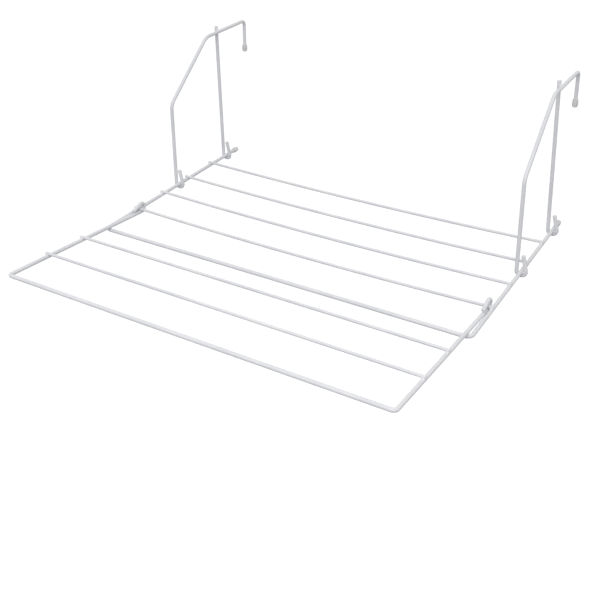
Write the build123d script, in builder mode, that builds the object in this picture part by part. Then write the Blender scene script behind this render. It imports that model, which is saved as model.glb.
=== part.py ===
from build123d import *
import os
from math import asin, atan, atan2, cos, degrees, hypot, radians, sin, tan

# Fold-down drying rack of coated steel wire, hung by two hook brackets over the top edge of a door.
# Millimetres, +Z up, +X to the right, +Y towards the door. The origin is the middle of the door's
# top front edge: the door's face is the plane Y = 0 and its top is the plane Z = 0.

# Wire stock, measured over the white coating
rod = 5.5  # thick wire of both frames and of the brackets
line = 4.0  # thin wire of the drying lines
weld_set = 0.3  # how far the thin wire sinks into the thick one at a weld
end_round = 0.6  # coating rounds every cut end
running_gap = 0.25  # play between a loop and the wire that it bears on

# Rear frame: a U of thick wire with four thin lines across its rails
rail_spacing = 575.0  # between the centre lines of the side rails
rail_depth = 217.5  # from the hooks' level runs down to the side rails
first_line = 80.0  # door face to the first line
line_pitch = 65.5  # from one rear line to the next, the last one being the hinge
bar_distance = 70.5  # hinge line to the thick bar in front of it
line_sag = 4.5  # how far the rear lines hang down half way along
line_straight = 20.0  # straight end of a rear line, from its rail to where the sag begins
line_left = 3.0  # a line's left end beyond its rail's centre line
line_right = 2.5  # a line's right end beyond its rail's centre line
rear_bend = 9.0  # bend radius of its corners, on the wire's centre line

# Front frame: a smaller U whose rails pass over the thick bar and loop round the hinge line
side_play = 1.5  # room between its rails and the rear frame's rails
front_shift = 1.1  # it sits this far to the right on its hinge line
front_first = 129.5  # hinge line to the first line of the front frame, along its rails
front_pitch = 68.5  # from there to the second line
front_bar_distance = 71.5  # second line to the front bar
front_bend = 5.5  # bend radius of its corners, on the wire's centre line
eye_radius = 6.6  # round end of the hinge loop, on the wire's centre line
eye_back = 2.5  # hinge line to the middle of that round end
eye_turn = 203.0  # how far the round end goes, in degrees; a straight tail then comes down on the rail

# Brackets: a hook wire and an upright, both looped round a side rail
bracket_lean = 1.15  # both lean this much towards the middle of the rack, in degrees
loop_play = 1.0  # room at each side of the rail inside a loop
tail_height = 24.5  # loop's free end above the rail's centre line
tail_offset = 1.0  # loop's free end to the right of the rail's centre line
leg_after_line = 20.5  # second rear line to the hook wire's leg
leg_height = 135.0  # rail to the bend at the top of the leg
run_start = 67.0  # door face to where the level run begins
upright_distance = 31.0  # door face to the upright
upright_stub = 8.0  # upright's end above the run's centre line
hook_gap = 40.0  # widest door that the hook takes
hook_length = 53.0  # run's centre line down to the end of the hook, over its cap
leg_bend = 18.0  # bend radii of the hook wire, on its centre line
run_bend = 25.0
hook_bend = 8.0

# Push-on caps and weld beads
cap_length = 12.0
cap_wall = 3.0  # closed end
cap_mouth = 6.8  # outer diameters of the barrel: at its mouth, at its belly and at its closed end
cap_belly = 8.6
cap_end = 7.4
cap_swell = 6.6  # closed end to the belly
cap_round = 0.8  # edge of the closed end
cap_fit = 0.02  # bore larger than the wire, on the radius
bead_radius = 3.8
bead_height = 1.5  # above and below the middle of the weld
bead_turn = 30.0  # keeps the bead's seam off the wires' seams, in degrees

# Places worked out from these
rail_x = rail_spacing / 2
rail_z = rod / 2 - rail_depth
line_z = rail_z + (rod + line) / 2 - weld_set
line_places = [-first_line - i * line_pitch for i in range(4)]
hinge_y = line_places[-1]
bar_y = hinge_y - bar_distance
sag_x = rail_x - line_straight
sag_angle = 2 * atan(line_sag / (sag_x + 2 * line_straight))
front_x = rail_x - rod - side_play
front_rails = (front_shift - front_x, front_shift + front_x)
front_length = front_first + front_pitch + front_bar_distance
front_places = [front_first, front_first + front_pitch]


def line_height(x):
    """Height of a rear line's centre at x, on one of its straight ends."""
    return line_z - (rail_x - abs(x)) * tan(sag_angle)


# The front frame's plane holds the hinge line's axis. Its rails run under the hinge line and over
# the thick bar, which tilts them up towards the front.
hinge_z = min(line_height(x) for x in front_rails)
under_hinge = (rod + line) / 2 + running_gap
over_bar = rod + running_gap
hinge_rise = hinge_z - rail_z
tilt = asin((under_hinge + over_bar) / hypot(bar_distance, hinge_rise)) - atan2(hinge_rise, bar_distance)
front_plane = Plane(origin=(0, hinge_y, hinge_z), x_dir=(1, 0, 0), z_dir=(0, sin(tilt), cos(tilt)))

loop_radius = rod + loop_play
loop_centre = loop_play - running_gap
leg_y = line_places[1] - leg_after_line
hook_y = hook_gap + rod / 2
run_z = rail_depth
upright_slant = loop_radius + rod - weld_set


def swept(path, diameter):
    """Round wire along a finished path, with its cut ends rounded."""
    with BuildPart() as wire:
        with BuildSketch(Plane(origin=path.line @ 0, z_dir=path.line % 0)):
            Circle(diameter / 2)
        sweep(path=path.line)
        fillet(wire.faces().filter_by(GeomType.PLANE).edges(), end_round)
    return wire


def cut_to(wire, seat):
    """The wire with the seat that it is welded on taken out of it."""
    with BuildPart() as welded:
        add(wire.part)
        add(seat.part, mode=Mode.SUBTRACT)
    return welded


def make_rear_frame():
    with BuildLine() as path:
        FilletPolyline(
            (-rail_x, -cap_wall, rail_z),
            (-rail_x, bar_y, rail_z),
            (rail_x, bar_y, rail_z),
            (rail_x, -cap_wall, rail_z),
            radius=rear_bend,
        )
    return swept(path, rod)


def make_rear_line(y):
    left = -rail_x - line_left
    right = rail_x + line_right
    sag_z = line_height(sag_x)
    lowest_z = sag_z - sag_x * tan(sag_angle / 2)
    with BuildLine() as path:
        Line((left, y, line_height(left)), (-sag_x, y, sag_z))
        ThreePointArc((-sag_x, y, sag_z), (0, y, lowest_z), (sag_x, y, sag_z))
        Line((sag_x, y, sag_z), (right, y, line_height(right)))
    return swept(path, line)


def eye_point(x, turn):
    """Point of a hinge loop's round end in the front frame's plane, some degrees on from the rail."""
    angle = radians(turn)
    return (x, eye_back + eye_radius * sin(angle), eye_radius * (1 - cos(angle)) - under_hinge)


def eye_tail(x):
    """Free end of a hinge loop, just above the rail that the loop is bent from."""
    _, y, z = eye_point(x, eye_turn)
    end_z = rod + running_gap - under_hinge
    return (x, y - (z - end_z) / tan(radians(eye_turn)), end_z)


def make_front_frame():
    left, right = front_rails
    with BuildLine(front_plane) as path:
        Line(eye_tail(left), eye_point(left, eye_turn))
        ThreePointArc(eye_point(left, eye_turn), eye_point(left, eye_turn / 2), eye_point(left, 0))
        FilletPolyline(
            eye_point(left, 0),
            (left, -front_length, -under_hinge),
            (right, -front_length, -under_hinge),
            eye_point(right, 0),
            radius=front_bend,
        )
        ThreePointArc(eye_point(right, 0), eye_point(right, eye_turn / 2), eye_point(right, eye_turn))
        Line(eye_point(right, eye_turn), eye_tail(right))
    return swept(path, rod)


def make_front_line(distance):
    left, right = front_rails
    height = (rod + line) / 2 - weld_set - under_hinge
    with BuildLine(front_plane) as path:
        Line((left - line_left, -distance, height), (right + line_right, -distance, height))
    return swept(path, line)


def loop_tangent(side, x, z):
    """Where a straight from (x, z) meets a bracket's loop, on its left (-1) or its right (+1) side."""
    rise = z - loop_centre
    turn = asin(loop_radius / hypot(x, rise)) - atan2(side * x, rise)
    return side * loop_radius * cos(turn), loop_centre + loop_radius * sin(turn)


def make_hook_wire(bracket_plane):
    """Tail, loop under the rail, leg, slanting brace, level run and hook, from the plane on the rail."""
    tail_x, tail_z = loop_tangent(1, tail_offset, tail_height)
    with BuildLine(bracket_plane) as path:
        Line((tail_offset, leg_y, tail_height), (tail_x, leg_y, tail_z))
        ThreePointArc(
            (tail_x, leg_y, tail_z),
            (0, leg_y, loop_centre - loop_radius),
            (-loop_radius, leg_y, loop_centre),
        )
        FilletPolyline(
            (-loop_radius, leg_y, loop_centre),
            (-loop_radius, leg_y, leg_height),
            (-loop_radius, -run_start, run_z),
            (-loop_radius, hook_y, run_z),
            (-loop_radius, hook_y, run_z - hook_length + cap_wall),
            radius=(leg_bend, run_bend, hook_bend),
        )
    return swept(path, rod)


def make_upright(bracket_plane):
    """Tail, loop under the rail and a straight that slants out to lie against the hook wire's run."""
    y = -upright_distance
    tail_x, tail_z = loop_tangent(1, tail_offset, tail_height)
    leg_x, leg_z = loop_tangent(-1, -upright_slant, run_z)
    top = 1 + upright_stub / (run_z - leg_z)
    with BuildLine(bracket_plane) as path:
        Line((tail_offset, y, tail_height), (tail_x, y, tail_z))
        ThreePointArc((tail_x, y, tail_z), (0, y, loop_centre - loop_radius), (leg_x, y, leg_z))
        Line((leg_x, y, leg_z), (leg_x - (upright_slant + leg_x) * top, y, leg_z + (run_z - leg_z) * top))
    return swept(path, rod)


def make_cap(closed_end, profile_plane):
    """Barrel-shaped cap with a blind bore. The plane's Y axis points out of the closed end."""
    bore = rod / 2 + cap_fit
    with BuildPart() as cap:
        with BuildSketch(profile_plane):
            with BuildLine():
                Polyline((bore, -cap_length), (bore, -cap_wall), (0, -cap_wall), (0, 0), (cap_end / 2, 0))
                ThreePointArc(
                    (cap_end / 2, 0), (cap_belly / 2, -cap_swell), (cap_mouth / 2, -cap_length)
                )
                Line((cap_mouth / 2, -cap_length), (bore, -cap_length))
            make_face()
        revolve(axis=Axis(closed_end, profile_plane.y_dir))
        outer_edge = cap.faces().filter_by(GeomType.PLANE).sort_by(Axis(closed_end, profile_plane.y_dir))[-1]
        fillet(outer_edge.edges(), cap_round)
    return cap


def make_bead():
    """Lens of weld metal and coating, flat on the XY plane's two sides."""
    ball = (bead_radius**2 + bead_height**2) / (2 * bead_height)
    half_way = asin(bead_radius / ball) / 2
    shoulder = (ball * sin(half_way), bead_height - ball + ball * cos(half_way))
    with BuildPart() as bead:
        with BuildSketch(Plane.XZ.rotated((0, 0, bead_turn))):
            with BuildLine():
                ThreePointArc((0, bead_height), shoulder, (bead_radius, 0))
                ThreePointArc((bead_radius, 0), (shoulder[0], -shoulder[1]), (0, -bead_height))
                Line((0, -bead_height), (0, bead_height))
            make_face()
        revolve(axis=Axis.Z)
    return bead


def make_welds(spots, wires):
    """One bead at each spot, with the whole wires that it joins taken out of it."""
    bead = make_bead()
    with BuildPart() as welds:
        with Locations(*spots):
            add(bead.part)
        for wire in wires:
            add(wire.part, mode=Mode.SUBTRACT)
    return welds


pieces = {}

# Rear frame with its lines, welds and rail caps
rear_frame = make_rear_frame()
rear_lines = [make_rear_line(y) for y in line_places]
weld_z = rail_z + (rod - weld_set) / 2
rear_spots = [Location((x, y, weld_z)) for y in line_places for x in (-rail_x, rail_x)]
pieces["rear_frame"] = rear_frame
for name, wire in zip(("rear_line_1", "rear_line_2", "rear_line_3", "hinge_wire"), rear_lines):
    pieces[name] = cut_to(wire, rear_frame)
pieces["rear_frame_welds"] = make_welds(rear_spots, [rear_frame] + rear_lines)

# Front frame with its lines and welds
front_frame = make_front_frame()
front_lines = [make_front_line(distance) for distance in front_places]
front_weld_height = (rod - weld_set) / 2 - under_hinge
front_spots = [
    front_plane.location * Location((x, -distance, front_weld_height))
    for distance in front_places
    for x in front_rails
]
pieces["front_frame"] = front_frame
for name, wire in zip(("front_line_1", "front_line_2"), front_lines):
    pieces[name] = cut_to(wire, front_frame)
pieces["front_frame_welds"] = make_welds(front_spots, [front_frame] + front_lines)

# Two equal brackets, one on each rail, and a cap on each bare end
for side, middle, lean in (("left", -rail_x, bracket_lean), ("right", rail_x, -bracket_lean)):
    rail_end = (middle, 0, rail_z)
    upward = (sin(radians(lean)), 0, cos(radians(lean)))
    bracket_plane = Plane(rail_end, x_dir=(upward[2], 0, -upward[0]), z_dir=upward)
    hook_wire = make_hook_wire(bracket_plane)
    upright = make_upright(bracket_plane)
    weld_x = -loop_radius - (rod - weld_set) / 2
    weld_spot = bracket_plane.location * Location((weld_x, -upright_distance, run_z), (0, 90, 0))
    hook_end = bracket_plane.from_local_coords((-loop_radius, hook_y, run_z - hook_length))
    pieces[f"{side}_hook_wire"] = hook_wire
    pieces[f"{side}_upright"] = cut_to(upright, hook_wire)
    pieces[f"{side}_bracket_weld"] = make_welds([weld_spot], [hook_wire, upright])
    pieces[f"{side}_hook_cap"] = make_cap(hook_end, Plane(hook_end, bracket_plane.x_dir, (0, 1, 0)))
    pieces[f"{side}_rail_cap"] = make_cap(rail_end, Plane(rail_end, (1, 0, 0), (0, 0, 1)))

os.makedirs("parts", exist_ok=True)
for name, piece in pieces.items():
    piece.part.label = name
    export_step(piece.part, f"parts/{name}.step")

print(f"front frame tilts up by {degrees(tilt):.2f} degrees")
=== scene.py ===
from math import cos, pi, radians, sin

import bmesh
import bpy
from mathutils import Matrix, Vector


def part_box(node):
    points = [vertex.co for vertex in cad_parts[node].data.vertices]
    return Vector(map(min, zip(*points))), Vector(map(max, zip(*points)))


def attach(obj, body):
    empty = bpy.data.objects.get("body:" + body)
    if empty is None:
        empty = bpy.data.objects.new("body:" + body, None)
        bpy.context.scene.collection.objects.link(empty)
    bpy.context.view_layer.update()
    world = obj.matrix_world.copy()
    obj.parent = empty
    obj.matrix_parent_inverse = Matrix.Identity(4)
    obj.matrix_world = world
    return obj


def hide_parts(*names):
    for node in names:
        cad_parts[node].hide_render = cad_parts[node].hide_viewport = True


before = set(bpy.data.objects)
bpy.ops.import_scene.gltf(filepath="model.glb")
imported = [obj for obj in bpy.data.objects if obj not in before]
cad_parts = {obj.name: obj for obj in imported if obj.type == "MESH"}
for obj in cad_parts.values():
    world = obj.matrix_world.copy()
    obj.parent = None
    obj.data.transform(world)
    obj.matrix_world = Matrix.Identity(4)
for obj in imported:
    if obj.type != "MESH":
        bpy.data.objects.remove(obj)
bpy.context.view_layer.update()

mm = 0.001

# Wires that keep the shape they are packed with
wires = [
    "rear_frame", "rear_line_1", "rear_line_2", "rear_line_3", "hinge_wire",
    "front_frame", "front_line_1", "front_line_2",
    "left_hook_wire", "left_upright", "right_hook_wire", "right_upright",
]
rod_radius = 2.75 * mm  # frames and brackets, over the coat
line_radius = 2.0 * mm  # drying lines, over the coat
weld_sink = 0.3 * mm  # how far two welded wires sink into each other
front_tilt = radians(5.34)  # front frame, down towards the hinge
bracket_lean = radians(1.15)  # brackets, in towards the middle


def linear(hex_colour):
    """An sRGB hex colour as the linear colour that Blender's sockets take."""
    levels = [int(hex_colour[at:at + 2], 16) / 255 for at in (1, 3, 5)]
    return [v / 12.92 if v <= 0.04045 else ((v + 0.055) / 1.055) ** 2.4 for v in levels] + [1.0]


def add_node(tree, kind, sockets, **settings):
    """Adds a node with its settings. A socket takes a plain value, or a link from a node's output."""
    node = tree.nodes.new("ShaderNode" + kind)
    for name, value in settings.items():
        setattr(node, name, value)
    for name, value in sockets.items():
        if isinstance(value, bpy.types.NodeSocket):
            tree.links.new(value, node.inputs[name])
        else:
            node.inputs[name].default_value = value
    return node


def new_material(name):
    """A material with an empty node tree, and that tree."""
    material = bpy.data.materials.new(name)
    material.use_nodes = True
    material.node_tree.nodes.clear()
    return material, material.node_tree


# Epoxy powder coat, sprayed dry on drawn steel wire and baked: a cool satin white that flowed out
# almost smooth, with a faint orange peel, thin and thick stretches, and a few specks of dust baked in
def powder_coat(name, peel_height, roughness_low, roughness_high):
    stretch_length = 45 * mm
    ripple_length = 9 * mm
    # Real specks are 0.1 to 0.2 mm; drawn about 0.5 mm across so that they show
    speck_spacing = 7 * mm
    # Real orange peel is 0.5 to 1 mm from crest to crest; drawn wider and deeper so that it shows
    peel_spacing = 1.6 * mm

    material, tree = new_material(name)
    place = add_node(tree, "TexCoord", {})
    stretches = add_node(tree, "TexNoise", {
        "Vector": place.outputs["Object"], "Scale": 1 / stretch_length, "Detail": 3.0, "Roughness": 0.55,
    })
    white = add_node(tree, "ValToRGB", {"Fac": stretches.outputs["Fac"]})
    white.color_ramp.elements[0].position = 0.36
    white.color_ramp.elements[0].color = linear("#E4E5E9")
    white.color_ramp.elements[1].position = 0.66
    white.color_ramp.elements[1].color = linear("#EEEEF1")
    specks = add_node(tree, "TexVoronoi", {"Vector": place.outputs["Object"], "Scale": 1 / speck_spacing})
    speck_mask = add_node(tree, "MapRange", {
        "Value": specks.outputs["Distance"], "From Min": 0.03, "From Max": 0.07,
        "To Min": 0.4, "To Max": 0.0,
    })
    colour = add_node(tree, "Mix", {
        "Factor": speck_mask.outputs["Result"], "A": white.outputs["Color"], "B": linear("#C9CACE"),
    }, data_type="RGBA")
    peel = add_node(tree, "TexNoise", {
        "Vector": place.outputs["Object"], "Scale": 1 / peel_spacing, "Detail": 1.0,
    })
    ripple = add_node(tree, "TexNoise", {
        "Vector": place.outputs["Object"], "Scale": 1 / ripple_length, "Detail": 1.0,
    })
    peel_bump = add_node(tree, "Bump", {
        "Height": peel.outputs["Fac"], "Strength": 0.5, "Distance": peel_height,
    })
    coat_bump = add_node(tree, "Bump", {
        "Height": ripple.outputs["Fac"], "Strength": 0.5, "Distance": 2 * peel_height,
        "Normal": peel_bump.outputs["Normal"],
    })
    gloss = add_node(tree, "MapRange", {
        "Value": stretches.outputs["Fac"], "From Min": 0.3, "From Max": 0.7,
        "To Min": roughness_low, "To Max": roughness_high,
    })
    surface = add_node(tree, "BsdfPrincipled", {
        "Base Color": colour.outputs["Result"], "Roughness": gloss.outputs["Result"], "IOR": 1.5,
        "Specular IOR Level": 0.35, "Normal": coat_bump.outputs["Normal"],
    })
    add_node(tree, "OutputMaterial", {"Surface": surface.outputs["BSDF"]})
    return material


# Low density polyethylene, injection moulded and pushed on warm: a soft matt grey-white that lets a
# little light in, with a fine spark-eroded grain from the mould
def moulded_polyethylene(name):
    cloud_size = 5 * mm
    # The mould's grain is about 0.1 mm; drawn at 0.4 mm so that it shows
    grain_size = 0.4 * mm
    grain_height = 0.06 * mm
    light_reach = 0.8 * mm

    material, tree = new_material(name)
    place = add_node(tree, "TexCoord", {})
    clouds = add_node(tree, "TexNoise", {
        "Vector": place.outputs["Object"], "Scale": 1 / cloud_size, "Detail": 2.0,
    })
    grey = add_node(tree, "ValToRGB", {"Fac": clouds.outputs["Fac"]})
    grey.color_ramp.elements[0].position = 0.35
    grey.color_ramp.elements[0].color = linear("#DADADB")
    grey.color_ramp.elements[1].position = 0.65
    grey.color_ramp.elements[1].color = linear("#E5E5E4")
    grain = add_node(tree, "TexNoise", {
        "Vector": place.outputs["Object"], "Scale": 1 / grain_size, "Detail": 2.0,
    })
    grain_bump = add_node(tree, "Bump", {
        "Height": grain.outputs["Fac"], "Strength": 0.7, "Distance": grain_height,
    })
    matt = add_node(tree, "MapRange", {
        "Value": clouds.outputs["Fac"], "From Min": 0.3, "From Max": 0.7, "To Min": 0.46, "To Max": 0.58,
    })
    surface = add_node(tree, "BsdfPrincipled", {
        "Base Color": grey.outputs["Color"], "Roughness": matt.outputs["Result"], "IOR": 1.51,
        "Subsurface Weight": 0.15, "Subsurface Radius": (1.0, 1.0, 1.0), "Subsurface Scale": light_reach,
        "Normal": grain_bump.outputs["Normal"],
    })
    add_node(tree, "OutputMaterial", {"Surface": surface.outputs["BSDF"]})
    return material


def rounded_edge(middle_radius, middle_height, size, first_angle):
    """A quarter circle of an outline, as (radius, height), anticlockwise from an angle in degrees."""
    steps = 4
    angles = [radians(first_angle + 90 * step / steps) for step in range(steps + 1)]
    return [(middle_radius + size * cos(angle), middle_height + size * sin(angle)) for angle in angles]


def make_end_cap(name):
    """A push-on cap, closed end down, its middle at the origin: a barrel with a bore for the wire,
    a gate mark in the closed end and a mould line down both sides."""
    length = 12.0 * mm
    closed_radius = 3.54 * mm
    belly_radius = 4.3 * mm
    belly_height = 6.6 * mm
    mouth_radius = 3.42 * mm
    bore_radius = 2.77 * mm
    bore_floor = 3.0 * mm
    gate_radius = 0.95 * mm
    gate_depth = 0.25 * mm
    closed_edge = 0.8 * mm
    mouth_edge = 0.36 * mm
    bore_edge = 0.16 * mm
    line_height = 0.09 * mm
    barrel_steps = 12
    turns = 72
    near = 0.001 * mm

    def barrel(height):
        """The barrel's radius at a height above the closed end."""
        if height < belly_height:
            return belly_radius - (belly_radius - closed_radius) * (1 - height / belly_height) ** 2
        to_mouth = (height - belly_height) / (length - belly_height)
        return belly_radius - (belly_radius - mouth_radius) * to_mouth ** 2

    barrel_bottom = closed_edge
    barrel_top = length - mouth_edge
    step_height = (barrel_top - barrel_bottom) / barrel_steps
    outline = [(0, gate_depth), (gate_radius - gate_depth, gate_depth), (gate_radius, 0)]
    outline += rounded_edge(barrel(barrel_bottom) - closed_edge, closed_edge, closed_edge, -90)
    for step in range(1, barrel_steps):
        height = barrel_bottom + step_height * step
        outline.append((barrel(height), height))
    outline += rounded_edge(barrel(barrel_top) - mouth_edge, barrel_top, mouth_edge, 0)
    outline += rounded_edge(bore_radius + bore_edge, length - bore_edge, bore_edge, 90)
    outline += [(bore_radius, bore_floor), (0, bore_floor)]

    cap = bmesh.new()
    points = [cap.verts.new((radius, 0, height)) for radius, height in outline]
    edges = [cap.edges.new(pair) for pair in zip(points, points[1:])]
    bmesh.ops.spin(cap, geom=points + edges, axis=(0, 0, 1), cent=(0, 0, 0), angle=2 * pi, steps=turns,
                   use_merge=True)
    bmesh.ops.remove_doubles(cap, verts=cap.verts, dist=near)
    bmesh.ops.recalc_face_normals(cap, faces=cap.faces)
    # Spin leaves points and faces in no steady order, so they are sorted by height, then depth, then width
    sort_weights = Vector((1, 100, 10000))
    cap.verts.sort(key=lambda vert: vert.co.dot(sort_weights))
    cap.faces.sort(key=lambda face: face.calc_center_median().dot(sort_weights))

    # Mould line
    line_bottom = closed_edge / 2
    line_top = length - 2 * mouth_edge
    for vert in cap.verts:
        on_the_barrel = abs(vert.co.x) > closed_radius and line_bottom < vert.co.z < line_top
        if on_the_barrel and abs(vert.co.y) < near:
            vert.co.x += line_height if vert.co.x > 0 else -line_height

    bmesh.ops.translate(cap, verts=cap.verts, vec=(0, 0, -length / 2))
    for face in cap.faces:
        face.smooth = True
    mesh = bpy.data.meshes.new(name)
    cap.to_mesh(mesh)
    cap.free()
    mesh.set_sharp_from_angle(angle=radians(40))
    return mesh


def make_weld_coat(lower_radius, upper_radius, upper_shift):
    """Coat that ran together where one wire is welded across another: one soft form that fills the
    corners and sinks into both wires. The wires touch at the origin. The lower one lies along Y and
    the upper one along X, with its free end at +X. Its swelling is shifted away from that end."""
    swell = 0.2 * mm
    along_lower = 6.2 * mm
    along_upper = 3.8 * mm
    corners = (3.2 * mm, 3.8 * mm, 1.3 * mm)
    melt_size = 0.22 * mm
    lower_half = lower_radius + swell
    upper_half = upper_radius + swell
    swellings = [
        ((0, 0, swell + weld_sink / 2 - lower_radius), (lower_half, along_lower, lower_half)),
        ((-upper_shift, 0, upper_radius - weld_sink / 2 - swell), (along_upper, upper_half, upper_half)),
        ((0, 0, 0), corners),
    ]
    form = bmesh.new()
    for middle, half_sizes in swellings:
        place = Matrix.Translation(middle) @ Matrix.Diagonal((*half_sizes, 1.0))
        bmesh.ops.create_uvsphere(form, u_segments=48, v_segments=24, radius=1.0, matrix=place)
    dry_mesh = bpy.data.meshes.new("weld_coat_dry")
    form.to_mesh(dry_mesh)
    form.free()
    dry_coat = bpy.data.objects.new("weld_coat_dry", dry_mesh)
    bpy.context.collection.objects.link(dry_coat)
    melt = dry_coat.modifiers.new("melt_together", "REMESH")
    melt.mode = "VOXEL"
    melt.voxel_size = melt_size
    flow = dry_coat.modifiers.new("flow_out", "SMOOTH")
    flow.factor = 0.5
    flow.iterations = 30
    flowed_coat = dry_coat.evaluated_get(bpy.context.evaluated_depsgraph_get())
    flowed_mesh = bpy.data.meshes.new_from_object(flowed_coat)
    bpy.data.objects.remove(dry_coat)
    return flowed_mesh


def weld_place(touch, line_end, rail_to_line):
    """The matrix that takes a weld's coat to the point where its two wires touch."""
    along_line = Vector(line_end)
    upwards = Vector(rail_to_line)
    turn = Matrix((along_line, upwards.cross(along_line), upwards)).transposed()
    return Matrix.Translation(touch) @ turn.to_4x4()


def repeat_weld_coat(name, coat_mesh, places):
    """One mesh with a weld's coat at each of the places."""
    pools = bmesh.new()
    for place in places:
        made_before = len(pools.verts)
        pools.from_mesh(coat_mesh)
        pools.verts.ensure_lookup_table()
        bmesh.ops.transform(pools, matrix=place, verts=pools.verts[made_before:])
    for face in pools.faces:
        face.smooth = True
    mesh = bpy.data.meshes.new(name)
    pools.to_mesh(mesh)
    pools.free()
    return mesh


def box_middle(node_name):
    """The middle of a node's box at rest."""
    low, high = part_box(node_name)
    return (Vector(low) + Vector(high)) / 2


def add_piece(piece, mesh, material, body, node_name):
    """Adds a finished mesh as a piece that rides on a body and stands for a node."""
    mesh.materials.clear()
    mesh.materials.append(material)
    made = bpy.data.objects.new(piece, mesh)
    bpy.context.collection.objects.link(made)
    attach(made, body)
    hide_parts(node_name)


def seen_by_eye(tree):
    """A socket that is 1 on rays to the eye, in reflections and through glass, and 0 on other light."""
    path = add_node(tree, "LightPath", {})
    seen = add_node(tree, "Math", {
        0: path.outputs["Is Camera Ray"], 1: path.outputs["Is Glossy Ray"],
    }, operation="MAXIMUM")
    seen_or_through = add_node(tree, "Math", {
        0: seen.outputs["Value"], 1: path.outputs["Is Transmission Ray"],
    }, operation="MAXIMUM")
    return seen_or_through.outputs["Value"]


# Finishes
wire_coat = powder_coat("powder_coated_wire", 0.15 * mm, 0.38, 0.48)
weld_coat = powder_coat("powder_coat_pooled_at_welds", 0.1 * mm, 0.32, 0.42)
cap_plastic = moulded_polyethylene("moulded_polyethylene")
for node_name in wires:
    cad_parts[node_name].data.materials.clear()
    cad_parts[node_name].data.materials.append(wire_coat)

# Where each frame's lines cross its rails. The rear lines sag, so the rails give their welds' height
line_end = {"left": (-1, 0, 0), "right": (1, 0, 0)}
front_up = Vector((0, sin(front_tilt), cos(front_tilt)))
rear_low, rear_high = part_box("rear_frame")
front_low, front_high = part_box("front_frame")
rear_rail_x = {"left": rear_low[0] + rod_radius, "right": rear_high[0] - rod_radius}
front_rail_x = {"left": front_low[0] + rod_radius, "right": front_high[0] - rod_radius}
weld_places = {"rear_frame": [], "front_frame": []}
for line_name in ("rear_line_1", "rear_line_2", "rear_line_3", "hinge_wire"):
    for side, x in rear_rail_x.items():
        touch = Vector((x, box_middle(line_name).y, rear_high[2] - weld_sink / 2))
        weld_places["rear_frame"].append(weld_place(touch, line_end[side], (0, 0, 1)))
for line_name in ("front_line_1", "front_line_2"):
    middle = box_middle(line_name)
    for side, x in front_rail_x.items():
        touch = Vector((x, middle.y, middle.z)) - (line_radius - weld_sink / 2) * front_up
        weld_places["front_frame"].append(weld_place(touch, line_end[side], front_up))

# Coat at the lines' welds
line_weld_shift = 1.6 * mm
line_weld = make_weld_coat(rod_radius, line_radius, line_weld_shift)
for body, places in weld_places.items():
    piece = f"{body}_weld_coat"
    mesh = repeat_weld_coat(piece, line_weld, places)
    add_piece(piece, mesh, weld_coat, body, f"{body}_welds")

# Coat at the weld of each bracket's upright to its run
upright_weld = make_weld_coat(rod_radius, rod_radius, 0.0)
bracket_turn = {
    "left": Matrix.Rotation(bracket_lean, 3, "Y"),
    "right": Matrix.Rotation(-bracket_lean, 3, "Y"),
}
for side, turn in bracket_turn.items():
    node_name = f"{side}_bracket_weld"
    piece = f"{node_name}_coat"
    place = weld_place(box_middle(node_name), turn @ Vector((0, 0, 1)), turn @ Vector((-1, 0, 0)))
    mesh = repeat_weld_coat(piece, upright_weld, [place])
    add_piece(piece, mesh, weld_coat, f"{side}_bracket", node_name)

# End caps: on the rails, closed end to the door, and on the hooks, closed end down
closed_end_to_door = Matrix.Rotation(radians(90), 3, "X")
end_caps = {
    "left_rail_end_cap": ("left_rail_cap", "rear_frame", closed_end_to_door),
    "right_rail_end_cap": ("right_rail_cap", "rear_frame", closed_end_to_door),
    "left_hook_end_cap": ("left_hook_cap", "left_bracket", bracket_turn["left"]),
    "right_hook_end_cap": ("right_hook_cap", "right_bracket", bracket_turn["right"]),
}
for piece, (node_name, body, turn) in end_caps.items():
    mesh = make_end_cap(piece)
    mesh.transform(Matrix.Translation(box_middle(node_name)) @ turn.to_4x4())
    add_piece(piece, mesh, cap_plastic, body, node_name)

# Floor that the door would stand on, 2 m below its top
floor_height = -2.0
floor_reach = 40.0
floor_mesh = bpy.data.meshes.new("floor")
floor_form = bmesh.new()
bmesh.ops.create_grid(floor_form, x_segments=1, y_segments=1, size=floor_reach)
bmesh.ops.translate(floor_form, verts=floor_form.verts, vec=(0, 0, floor_height))
floor_form.to_mesh(floor_mesh)
floor_form.free()
floor = bpy.data.objects.new("floor", floor_mesh)
bpy.context.collection.objects.link(floor)

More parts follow.
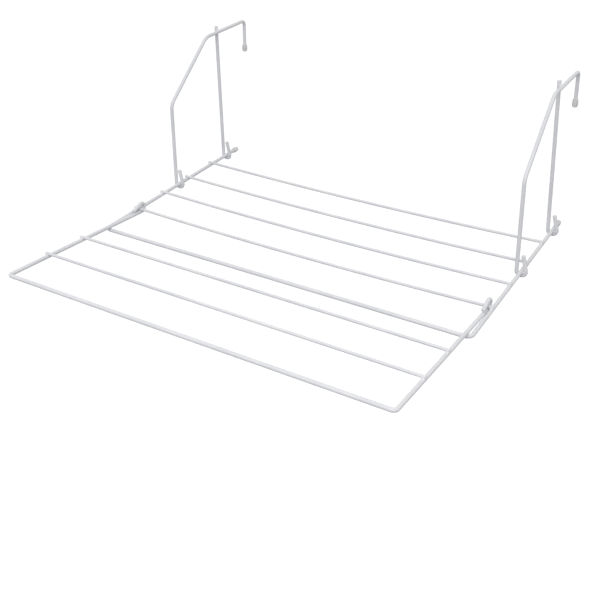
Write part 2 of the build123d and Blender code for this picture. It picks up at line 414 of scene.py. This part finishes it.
# The floor is a pale grey to the light, and white to the eye, less the shadow that falls on it
floor_whitening = 0.77
floor_paint, tree = new_material("pale_floor_paint")
matt = add_node(tree, "BsdfDiffuse", {"Color": linear("#B0B1B3")})
whitening = add_node(tree, "Math", {0: seen_by_eye(tree), 1: floor_whitening}, operation="MULTIPLY")
white = add_node(tree, "Emission", {"Color": linear("#FFFFFF"), "Strength": whitening.outputs["Value"]})
both = add_node(tree, "AddShader", {0: matt.outputs["BSDF"], 1: white.outputs["Emission"]})
add_node(tree, "OutputMaterial", {"Surface": both.outputs["Shader"]})
floor_mesh.materials.append(floor_paint)

# White studio: white to the eye and in reflections, and a soft even light from all sides
ambient = 0.62
world = bpy.data.worlds.new("white_studio")
bpy.context.scene.world = world
world.use_nodes = True
tree = world.node_tree
tree.nodes.clear()
level = add_node(tree, "MapRange", {"Value": seen_by_eye(tree), "To Min": ambient, "To Max": 1.0})
sky = add_node(tree, "Background", {"Color": linear("#FFFFFF"), "Strength": level.outputs["Result"]})
add_node(tree, "OutputWorld", {"Surface": sky.outputs["Background"]})

# Wide softbox, high in front, above the camera. It adds the key level to white that faces it
key = 0.43
softbox_place = Vector((0.44, -1.6, 1.45))
softbox_aim = Vector((0, -0.45, -0.2))
softbox = bpy.data.lights.new("softbox", "AREA")
softbox.size = 1.4
softbox.energy = key * (pi * (softbox_place - softbox_aim).length) ** 2
softbox_lamp = bpy.data.objects.new("softbox", softbox)
softbox_lamp.location = softbox_place
softbox_lamp.rotation_euler = (softbox_aim - softbox_place).to_track_quat("-Z", "Y").to_euler()
softbox_lamp.visible_camera = False
bpy.context.collection.objects.link(softbox_lamp)

# Camera at the photograph's angle
lens = bpy.data.cameras.new("camera")
lens.sensor_width = 36.0
lens.lens = 55.76
lens.shift_x = 0.0290
lens.shift_y = -0.0947
camera = bpy.data.objects.new("camera", lens)
camera.location = (0.59713, -1.25589, 0.43346)
camera.rotation_euler = (radians(61.418), radians(1.149), radians(31.467))
bpy.context.collection.objects.link(camera)
bpy.context.scene.camera = camera
bpy.context.scene.view_settings.view_transform = "Standard"
